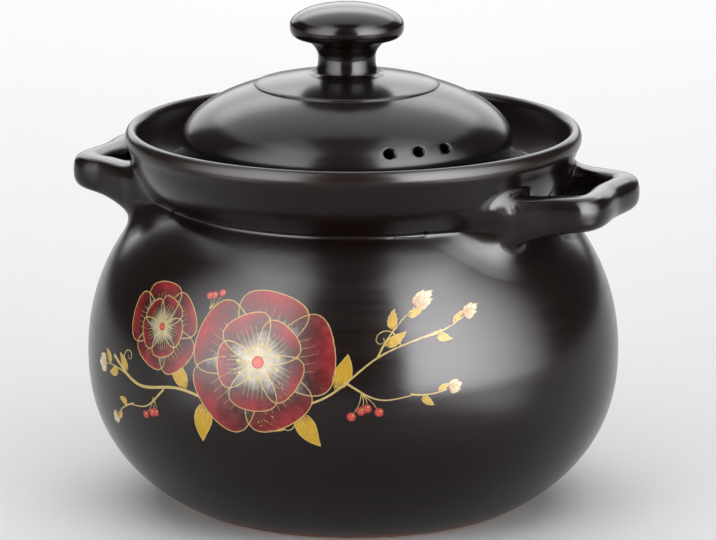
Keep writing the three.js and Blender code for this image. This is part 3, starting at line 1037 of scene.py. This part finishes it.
@dataclass
class MushroomKnob:
    """The turned knob, luted to the crown of the lid."""

    glaze: IronGlaze
    foot_radius: float = 0.017
    neck_radius: float = 0.0134
    neck_rise: float = 0.0075
    cap_radius: float = 0.0266
    cap_rise: float = 0.0229
    lip_width: float = 0.005
    lip_height: float = 0.0059
    sides: int = 144
    foot: Vector = field(init=False)
    top: float = field(init=False)

    def __post_init__(self) -> None:
        """Takes the knob's place and height from the solid."""
        low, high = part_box("lid_knob")
        self.foot = Vector(((low.x + high.x) / 2, (low.y + high.y) / 2, low.z))
        self.top = high.z - low.z

    def profile(self) -> list[Station]:
        """Walks up the knob.

        Returns:
            Stations from the axis at its foot to the axis at its top.
        """
        lip = (self.cap_radius - self.lip_width, self.cap_rise - self.lip_height)
        neck = (self.neck_radius, self.neck_rise)
        skirt = (self.foot_radius + 0.0008, -0.0004)
        edge = (self.cap_radius, self.cap_rise)
        return [
            *stations([(0.0, skirt[1]), skirt]),
            *stations(bend((self.foot_radius, 0.0002), (self.neck_radius, 0.0006), neck, 10)),
            *stations(bend(neck, (self.neck_radius, lip[1] - self.lip_height / 2), lip, 24)[1:]),
            *stations(bend(lip, (self.cap_radius, lip[1]), edge, 14)[1:]),
            *stations(arc((0, self.cap_rise), self.cap_radius, self.top - self.cap_rise, 0, 90, 36)[1:]),
        ]

    def build(self) -> bpy.types.Object:
        """Turns the knob and dresses it.

        Returns:
            The piece.
        """
        bm = turned(self.profile(), self.sides)
        bmesh.ops.translate(bm, verts=bm.verts, vec=self.foot)
        piece = into_piece(bm, "mushroom_knob", self.glaze.material(), 50)
        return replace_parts(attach(piece, "lid"), "lid_knob")


def onward(spot: Point, heading: float, distance: float) -> Point:
    """The flat point at a distance from another, along a heading in radians."""
    return spot[0] + distance * math.cos(heading), spot[1] + distance * math.sin(heading)


class Outline(Enum):
    """Outline of a petal or a leaf."""

    ROUND = "round"
    LANCE = "lance"
    EGG = "egg"

    def half_width(self, share: float) -> float:
        """Half width at a share of the length, as a share of the greatest.

        Args:
            share: From 0 at the root to 1 at the tip.

        Returns:
            The half width.
        """
        if self is Outline.ROUND:
            return share**0.6 * max(0.0, 1 - share**5) ** 0.5 / 0.735
        if self is Outline.LANCE:
            return math.sin(math.pi * share) ** 0.9 * (1 - 0.4 * share) / 0.83
        return math.sin(math.pi * share**0.8) ** 0.75


class Ink(Enum):
    """The enamels of the print, each with its piece's name."""

    PETAL = "print_petals"
    LEAF = "print_leaves"
    BUD = "print_buds"
    BERRY = "print_berries"
    LINE = "print_lines"


@dataclass
class BlossomPrint:
    """A fired transfer print of a flowering branch, laid over the front of the belly.

    It is laid out flat, in metres across and up from its middle, and wrapped onto the pot's outer face.
    """

    body: PotBody
    turn: float = math.radians(-92.5)
    level: float = 0.091
    line_half: float = 0.00022
    shell: float = 0.00006
    coat_step: float = 0.0000015
    coat_cycle: int = 12
    face: list[tuple[float, Vector]] = field(init=False)
    meshes: dict[Ink, bmesh.types.BMesh] = field(init=False)
    coats: int = field(init=False, default=0)

    def __post_init__(self) -> None:
        """Measures the outer face up from the print's middle, and starts a mesh for each enamel."""
        spots = [Vector((one.radius, 0.0, one.level)) for one in self.body.outer_face()]
        lengths = [0.0]
        for start, end in zip(spots, spots[1:]):
            lengths.append(lengths[-1] + (end - start).length)
        middle = min(range(len(spots)), key=lambda n: abs(spots[n].z - self.level))
        zero = lengths[middle] + self.level - spots[middle].z
        self.face = [(length - zero, spot) for length, spot in zip(lengths, spots)]
        self.meshes = {ink: bmesh.new() for ink in Ink}
        for bm in self.meshes.values():
            bm.verts.layers.float.new(ALONG_LAYER)

    def wrap(self, flat: Point, lift: float) -> Vector:
        """Puts a flat point onto the belly.

        Args:
            flat: Where it is, across and up.
            lift: Its height over the glaze.

        Returns:
            The place on the pot.
        """
        row = max(n for n, (length, _) in enumerate(self.face[:-1]) if length <= flat[1])
        (start, low), (end, high) = self.face[row], self.face[row + 1]
        spot = low.lerp(high, (flat[1] - start) / (end - start))
        before, after = self.face[max(row - 1, 0)][1], self.face[min(row + 2, len(self.face) - 1)][1]
        normal = (after - before).cross(Vector((0, -1, 0))).normalized()
        normal = normal if normal.x > 0 else -normal
        spot = spot + normal * lift
        return Matrix.Rotation(self.turn + flat[0] / low.x, 3, "Z") @ spot

    def sheet(
        self, ink: Ink, place: Callable[[float, float], Point], columns: int, rows: int, lift: float
    ) -> None:
        """Lays one patch of enamel.

        Args:
            ink: Its enamel.
            place: Flat point for a share across from -1 to 1 and a share along from 0 to 1.
            columns: Steps across.
            rows: Steps along.
            lift: Height of its face over the glaze. Each patch lies a touch over the one before.
        """
        bm = self.meshes[ink]
        along = bm.verts.layers.float[ALONG_LAYER]
        self.coats = (self.coats + 1) % self.coat_cycle
        verts = bmesh.ops.create_grid(bm, x_segments=columns, y_segments=rows, size=1.0)["verts"]
        for vert in verts:
            across, length = vert.co.x, (vert.co.y + 1) / 2
            vert[along] = length
            vert.co = self.wrap(place(across, length), lift + self.coats * self.coat_step)
        bmesh.ops.remove_doubles(bm, verts=verts, dist=2 * WELD)

    def dot(self, ink: Ink, centre: Point, radius: float, lift: float, segments: int = 14) -> None:
        """Lays a round dot.

        Args:
            ink: Its enamel.
            centre: Its middle.
            radius: Its radius.
            lift: Height of its face over the glaze.
            segments: Sides of its outline.
        """
        bm = self.meshes[ink]
        along = bm.verts.layers.float[ALONG_LAYER]
        self.coats = (self.coats + 1) % self.coat_cycle
        disc = bmesh.ops.create_circle(bm, cap_ends=True, cap_tris=True, segments=segments, radius=radius)
        for vert in disc["verts"]:
            vert[along] = vert.co.to_2d().length / radius
            flat = (centre[0] + vert.co.x, centre[1] + vert.co.y)
            vert.co = self.wrap(flat, lift + self.coats * self.coat_step)

    def line(
        self, path: Sequence[Point], half: float, lift: float = 0.00004, tip: float = 0.35, steps: int = 6
    ) -> None:
        """Draws a brush line that thins towards its end.

        Args:
            path: Points that it runs through.
            half: Half of its width at the start.
            lift: Height of its face over the glaze.
            tip: Share of the width that is left at the end.
            steps: Steps between two points.
        """
        walk = flowing([Vector((*spot, 0.0)) for spot in path], steps)
        last = len(walk) - 1

        def place(across: float, length: float) -> Point:
            """Flat point of the line."""
            row = round(length * last)
            ahead = (walk[min(row + 1, last)] - walk[max(row - 1, 0)]).normalized()
            width = half * (1 - (1 - tip) * length)
            return walk[row].x - ahead.y * across * width, walk[row].y + ahead.x * across * width

        self.sheet(Ink.LINE, place, 1, last, lift)

    def petal(
        self, ink: Ink, root: Point, heading: float, length: float, half: float, form: Outline,
        lift: float = 0.00003, notch: float = 0.0, sway: float = 0.0, veins: int = 0,
    ) -> None:
        """Lays a petal or a leaf with its drawn edge and veins.

        Args:
            ink: Its enamel.
            root: Where it starts.
            heading: Which way it points there, in radians.
            length: Its length.
            half: Half of its greatest width.
            form: Its outline.
            lift: Height of its face over the glaze.
            notch: Depth of the dip at its tip, as a share of its length.
            sway: How far its midrib turns on its way to the tip, in radians.
            veins: Number of drawn veins.
        """

        def place(across: float, along: float) -> Point:
            """Flat point of the petal."""
            dip = 1 - notch * math.exp(-((across / 0.35) ** 2)) * along**4
            reach, bow = length * along * dip, heading + sway * along / 2
            side = across * half * form.half_width(along)
            lean = heading + sway * along
            return (
                root[0] + reach * math.cos(bow) - side * math.sin(lean),
                root[1] + reach * math.sin(bow) + side * math.cos(lean),
            )

        def eased(across: float, along: float) -> Point:
            """The same with its rows closer together at the tip."""
            return place(across, 1 - (1 - along) ** 1.7)

        self.sheet(ink, eased, 10, 16, lift)
        steps = [1 - (1 - n / 9) ** 1.7 for n in range(1, 10)]
        edge = [place(-1, share) for share in steps] + [place(1, share) for share in reversed(steps[:-1])]
        self.line(edge, self.line_half, lift + 0.00002, tip=0.9)
        for number in range(veins):
            across = (number - (veins - 1) / 2) * 0.9 / max(veins - 1, 1)
            end = 0.82 - 0.22 * abs(across)
            vein = [place(across * 0.9, share * end) for share in (0.12, 0.4, 0.7, 1.0)]
            self.line(vein, self.line_half * 0.75, lift + 0.00002)

    def blossom(self, centre: Point, radius: float, turn: float) -> None:
        """Draws a double blossom seen from the front.

        Args:
            centre: Its middle.
            radius: Its radius.
            turn: How far its first petal is turned, in radians.
        """
        for scale, offset, lift in ((1.0, 0.0, 0.00006), (0.64, math.pi / 5, 0.000095)):
            for number in range(5):
                heading = turn + offset + math.tau * number / 5
                length = radius * scale * (1 + 0.06 * math.sin(7 * heading))
                sway = 0.10 * math.sin(3 * heading)
                self.petal(
                    Ink.PETAL, centre, heading, length, length * 0.52, Outline.ROUND, lift, 0.11, sway, 5
                )
        for number in range(11):
            heading = turn + math.tau * number / 11
            reach = radius * (0.25 + 0.05 * math.sin(5 * number))
            tip = onward(centre, heading, reach)
            knee = tuple(c + (t - c) * 0.55 + 0.0006 * math.sin(number) for c, t in zip(centre, tip))
            self.line([centre, knee, tip], self.line_half * 0.9, 0.00013)
            self.dot(Ink.LINE, tip, radius * 0.026, 0.00015)
        self.dot(Ink.BERRY, centre, radius * 0.085, 0.00015, 20)

    def sprig(self, root: Point, heading: float, length: float, leaves: int) -> None:
        """Draws a leafy sprig that ends in a bud.

        Args:
            root: Where it leaves the branch.
            heading: Which way it grows, in radians.
            length: Its length.
            leaves: Number of leaves, on alternate sides.
        """
        turn = 0.5 if math.sin(heading) < 0.4 else -0.4
        path = []
        for step in range(5):
            share = step / 4
            bow = heading + turn * share / 2
            path.append(onward(root, bow, length * share))
        self.line(path, self.line_half * 2.2)
        for number in range(leaves):
            share = (number + 0.7) / (leaves + 0.4)
            bow = heading + turn * share / 2
            spot = onward(root, bow, length * share)
            side = 1 if number % 2 else -1
            size = length * (0.46 - 0.16 * share)
            lean = bow + side * 0.85
            self.petal(Ink.LEAF, spot, lean, size, size * 0.21, Outline.LANCE, sway=-side * 0.5, veins=1)
        bow = heading + turn
        for lean, share in ((-0.45, 0.30), (0.45, 0.30), (0.0, 0.36)):
            size = length * share
            self.petal(Ink.BUD, path[-1], bow + lean, size, size * 0.34, Outline.EGG, 0.00005, veins=3)

    def berries(self, root: Point, heading: float, count: int, size: float) -> None:
        """Draws a drooping bunch of berries on fine stalks.

        Args:
            root: Where the stalks leave the branch.
            heading: Which way the bunch hangs, in radians.
            count: Number of berries.
            size: Radius of a berry.
        """
        for number in range(count):
            lean = heading + (number - (count - 1) / 2) * 0.38
            reach = size * (4.2 + 1.5 * math.sin(2.4 * number + 1))
            spot = onward(root, lean, reach)
            middle = ((root[0] + spot[0]) / 2 + size * 0.5, (root[1] + spot[1]) / 2)
            self.line([root, middle, spot], self.line_half * 0.9)
            self.dot(Ink.BERRY, spot, size, 0.00007, 18)
            self.dot(Ink.LINE, (spot[0] + size * 0.32, spot[1] + size * 0.3), size * 0.22, 0.00009, 10)

    def tendril(self, root: Point, heading: float, size: float, hand: int) -> None:
        """Draws a curled tendril.

        Args:
            root: Where it leaves the branch.
            heading: Which way it sets out, in radians.
            size: Its reach.
            hand: 1 to curl to the left, -1 to the right.
        """
        spot, path = root, [root]
        for step in range(14):
            bow = heading + hand * (step / 13) ** 1.6 * 6.6
            stride = size * 0.16 * (1 - 0.052 * step)
            spot = onward(spot, bow, stride)
            path.append(spot)
        self.line(path, self.line_half * 1.3)

    def compose(self) -> None:
        """Lays out the branch and all that grows on it."""
        branch = [
            (-0.080, -0.010), (-0.058, -0.019), (-0.030, -0.016), (0.004, -0.022),
            (0.040, -0.014), (0.066, 0.006), (0.092, 0.016),
        ]
        self.line(branch, 0.0008, tip=0.4, steps=18)
        self.line([(0.050, -0.006), (0.066, -0.014), (0.084, -0.012)], 0.0005, steps=10)
        self.line([(-0.040, -0.018), (-0.052, -0.028), (-0.066, -0.030)], 0.0005, steps=10)
        self.sprig((-0.062, -0.018), math.radians(160), 0.026, 3)
        self.sprig((-0.062, -0.029), math.radians(195), 0.018, 2)
        self.sprig((0.064, 0.005), math.radians(70), 0.026, 3)
        self.sprig((0.084, 0.013), math.radians(10), 0.020, 2)
        self.sprig((0.080, -0.012), math.radians(-10), 0.018, 2)
        for spot, heading, size in (
            ((-0.014, -0.019), -115, 0.020), ((0.030, -0.019), -75, 0.019), ((0.046, -0.010), 60, 0.017),
            ((-0.026, -0.016), 120, 0.016), ((0.010, -0.022), -40, 0.015),
        ):
            turn = math.radians(heading)
            self.petal(Ink.LEAF, spot, turn, size, size * 0.24, Outline.LANCE, 0.00002, sway=0.5, veins=3)
        self.berries((0.058, -0.011), math.radians(-80), 4, 0.0021)
        self.berries((-0.047, -0.023), math.radians(-100), 3, 0.0020)
        self.berries((-0.018, 0.022), math.radians(80), 3, 0.0018)
        self.tendril((0.074, 0.010), math.radians(120), 0.016, 1)
        self.tendril((0.026, -0.019), math.radians(-60), 0.013, -1)
        self.tendril((-0.070, -0.014), math.radians(100), 0.013, -1)
        self.blossom((-0.044, 0.010), 0.021, math.radians(100))
        self.blossom((0.010, 0.001), 0.0335, math.radians(82))

    def build(self, inks: Mapping[Ink, PrintInk]) -> list[bpy.types.Object]:
        """Draws the print and fires it on.

        Args:
            inks: The finish of each enamel.

        Returns:
            A piece for each enamel.
        """
        self.compose()
        pieces = []
        for ink, bm in self.meshes.items():
            bm.normal_update()
            inward = [
                face for face in bm.faces if face.normal.dot(face.calc_center_median().to_2d().to_3d()) < 0
            ]
            bmesh.ops.reverse_faces(bm, faces=inward)
            bmesh.ops.solidify(bm, geom=bm.faces[:], thickness=self.shell)
            piece = into_piece(bm, ink.value, inks[ink].material(), 30)
            pieces.append(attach(piece, "pot"))
        return pieces


class Rays(Enum):
    """What a lamp lights: matt colour, gloss or both."""

    ALL = (True, True)
    MATT = (True, False)
    GLOSS = (False, True)


class Facing(Enum):
    """Which way a lamp faces: at the pot, level, or straight down or up."""

    POT = "pot"
    LEVEL = "level"
    DOWN = "down"
    UP = "up"


@dataclass(frozen=True)
class SoftBox:
    """A studio lamp with a soft flat face, placed by its bearing from the camera.

    The feathers are the shares of the face over which it fades: the side by the camera, the far side,
    the foot and the top.
    """

    name: str
    bearing: float
    level: float
    distance: float
    width: float
    height: float
    radiance: float
    feather: tuple[float, float, float, float] = (0.1, 0.1, 0.1, 0.1)
    rays: Rays = Rays.ALL
    facing: Facing = Facing.POT
    tint: Colour = (0.97, 0.98, 1.0)

    def fade(self, lamp: bpy.types.AreaLight) -> None:
        """Fades the lamp's face towards its edges.

        Args:
            lamp: The lamp, whose nodes are added to.
        """
        lamp.use_nodes = True
        nodes, links = lamp.node_tree.nodes, lamp.node_tree.links
        face = nodes.new("ShaderNodeSeparateXYZ")
        links.new(nodes.new("ShaderNodeNewGeometry").outputs["Parametric"], face.inputs[0])
        near, far, foot, top = self.feather
        sides = (near, far) if self.bearing > 0 else (far, near)
        strength = None
        for axis, (low, high) in ((0, sides), (1, (foot, top))):
            for start, end in ((0.0, low), (1.0, 1.0 - high)):
                ramp = nodes.new("ShaderNodeMapRange")
                ramp.interpolation_type = "SMOOTHSTEP"
                ramp.inputs["From Min"].default_value, ramp.inputs["From Max"].default_value = start, end
                links.new(face.outputs[axis], ramp.inputs["Value"])
                if strength is None:
                    strength = ramp.outputs[0]
                else:
                    product = nodes.new("ShaderNodeMath")
                    product.operation = "MULTIPLY"
                    links.new(strength, product.inputs[0])
                    links.new(ramp.outputs[0], product.inputs[1])
                    strength = product.outputs[0]
        links.new(strength, nodes["Emission"].inputs["Strength"])

    def place(self, camera_bearing: float) -> bpy.types.Object:
        """Sets the lamp up.

        Args:
            camera_bearing: Bearing of the camera, in degrees.

        Returns:
            The lamp.
        """
        lamp = bpy.data.lights.new(self.name, "AREA")
        lamp.shape, lamp.size, lamp.size_y = "RECTANGLE", self.width, self.height
        lamp.energy = self.radiance * math.pi * self.width * self.height
        lamp.color = self.tint
        self.fade(lamp)
        box = bpy.data.objects.new(self.name, lamp)
        box.location = Studio.bearing_vector(camera_bearing + self.bearing) * self.distance
        box.location.z = self.level
        if self.facing in (Facing.DOWN, Facing.UP):
            tip = 0.0 if self.facing is Facing.DOWN else math.pi
            box.rotation_euler = (tip, 0.0, math.radians(camera_bearing))
        else:
            aim = Vector((0.0, 0.0, 0.1 if self.facing is Facing.POT else self.level))
            box.rotation_euler = (aim - box.location).to_track_quat("-Z", "Y").to_euler()
        box.visible_camera = False
        box.visible_diffuse, box.visible_glossy = self.rays.value
        bpy.context.scene.collection.objects.link(box)
        return box


WALL_FEATHER = (0.03, 0.75, 0.03, 0.8)
ROOF_FEATHER = (0.03, 0.5, 0.3, 0.3)
SHEEN_FEATHER = (0.2, 0.6, 0.4, 0.4)


@dataclass
class Studio:
    """The floor, the lamps and the camera, as the pot was photographed."""

    paper: StudioPaper
    camera_bearing: float = 22.5
    camera_elevation: float = 13.3
    camera_distance: float = 2.115
    aim_level: float = 0.1072
    lens: float = 226.26
    shift_x: float = 0.00656
    floor_half: float = 9.0
    ambient: Colour = (0.10, 0.092, 0.09)
    lamps: tuple[SoftBox, ...] = (
        SoftBox("key_right", 45.0, 0.55, 2.0, 1.2, 0.8, 4.9, rays=Rays.MATT),
        SoftBox("key_left", -45.0, 0.55, 2.0, 1.2, 0.8, 5.2, rays=Rays.MATT),
        SoftBox("front_sky", 0.0, 1.6, 0.7, 2.8, 1.6, 1.3, rays=Rays.MATT, facing=Facing.DOWN),
        SoftBox("sky", 180.0, 1.6, 1.5, 3.2, 2.4, 1.7, rays=Rays.MATT, facing=Facing.DOWN),
        SoftBox("back", 180.0, 0.95, 2.6, 3.2, 1.8, 1.0, rays=Rays.MATT),
        SoftBox("wall_right", 57.0, 1.1, 0.9, 1.31, 2.3, 23.0, WALL_FEATHER, Rays.GLOSS, Facing.LEVEL),
        SoftBox("wall_left", -60.0, 1.1, 0.9, 1.31, 2.3, 13.0, WALL_FEATHER, Rays.GLOSS, Facing.LEVEL),
        SoftBox("roof_right", 62.0, 1.35, 0.85, 0.9, 1.2, 6.5, ROOF_FEATHER, Rays.GLOSS, Facing.DOWN),
        SoftBox("roof_left", -62.0, 1.35, 0.88, 0.9, 1.2, 4.5, ROOF_FEATHER, Rays.GLOSS, Facing.DOWN),
        SoftBox("canopy", 180.0, 1.5, 1.3, 3.0, 2.8, 2.5, (0.1, 0.1, 0.12, 0.1), Rays.GLOSS, Facing.DOWN),
        SoftBox("glow", 180.0, 1.25, 2.6, 4.4, 2.1, 2.6, (0.1, 0.1, 0.15, 0.1), Rays.GLOSS),
        SoftBox("sheen_right", 54.5, 0.003, 0.516, 0.4, 0.4, 5.0, SHEEN_FEATHER, Rays.GLOSS, Facing.UP),
        SoftBox("sheen_left", -57.5, 0.003, 0.516, 0.4, 0.4, 3.0, SHEEN_FEATHER, Rays.GLOSS, Facing.UP),
    )

    @staticmethod
    def bearing_vector(bearing: float, elevation: float = 0.0) -> Vector:
        """Direction out from the pot at a bearing and an elevation, in degrees."""
        turn, rise = math.radians(bearing), math.radians(elevation)
        return Vector((math.sin(turn) * math.cos(rise), -math.cos(turn) * math.cos(rise), math.sin(rise)))

    def lay_floor(self) -> None:
        """Lays the paper that the pot stands on."""
        bm = bmesh.new()
        bmesh.ops.create_grid(bm, x_segments=1, y_segments=1, size=self.floor_half)
        into_piece(bm, "studio_floor", self.paper.material(), 50)

    def light(self) -> None:
        """Sets up the lamps and the room's own light."""
        for lamp in self.lamps:
            lamp.place(self.camera_bearing)
        world = bpy.data.worlds.new("studio_room")
        world.use_nodes = True
        world.node_tree.nodes["Background"].inputs["Color"].default_value = (*self.ambient, 1.0)
        bpy.context.scene.world = world
        bpy.context.scene.view_settings.view_transform = "Standard"

    def set_camera(self) -> None:
        """Puts the camera at the photograph's angle."""
        camera = bpy.data.cameras.new("studio_camera")
        camera.lens, camera.sensor_width, camera.shift_x = self.lens, 36.0, self.shift_x
        camera.clip_end = 100.0
        holder = bpy.data.objects.new("studio_camera", camera)
        back = self.bearing_vector(self.camera_bearing, self.camera_elevation)
        holder.location = Vector((0.0, 0.0, self.aim_level)) + back * self.camera_distance
        holder.rotation_euler = (-back).to_track_quat("-Z", "Y").to_euler()
        bpy.context.scene.collection.objects.link(holder)
        bpy.context.scene.camera = holder


def report(piece: bpy.types.Object) -> None:
    """Logs a piece with its count of faces."""
    LOG.info("%s: %d faces", piece.name, len(piece.data.polygons))


def main() -> None:
    """Builds the pot, its handles, its lid and its studio in order."""
    logging.basicConfig(level=logging.INFO, format="%(name)s %(message)s")
    pot_glaze = IronGlaze("pot_iron_glaze", 0.21)
    lid_glaze = IronGlaze(
        "lid_iron_glaze", 0.2, 0.16, (0.0105, 0.008, 0.0078), (0.015, 0.0115, 0.0108), ring_depth=0.000006
    )
    knob_glaze = IronGlaze("knob_iron_glaze", 0.18, 0.2, ring_depth=0.000004)
    crimson, gold, leaf = (0.305, 0.017, 0.021), (0.61, 0.456, 0.156), (0.62, 0.36, 0.02)
    cream, coral, shade = (0.80, 0.74, 0.60), (0.66, 0.10, 0.07), (0.010, 0.003, 0.003)
    inks = {
        Ink.PETAL: PrintInk("petal_enamel", cream, shade, crimson, 0.40, 0.92),
        Ink.LEAF: PrintInk("leaf_enamel", shade, leaf, leaf, 0.20, 0.5),
        Ink.BUD: PrintInk("bud_enamel", crimson, cream, cream, 0.45, 0.8),
        Ink.BERRY: PrintInk("berry_enamel", coral, coral, crimson, 0.5, 1.0),
        Ink.LINE: PrintInk("line_enamel", gold, gold, gold),
    }
    studio = Studio(StudioPaper())
    studio.set_camera()
    body = PotBody(pot_glaze)
    pot, tree = body.build()
    report(pot)
    for piece in LoopHandle(pot_glaze).build(body.outer_face(), tree):
        report(piece)
    for piece in BlossomPrint(body).build(inks):
        report(piece)
    report(DomedLid(lid_glaze).build())
    report(MushroomKnob(knob_glaze).build())
    studio.lay_floor()
    studio.light()


if __name__ == "__main__":
    main()
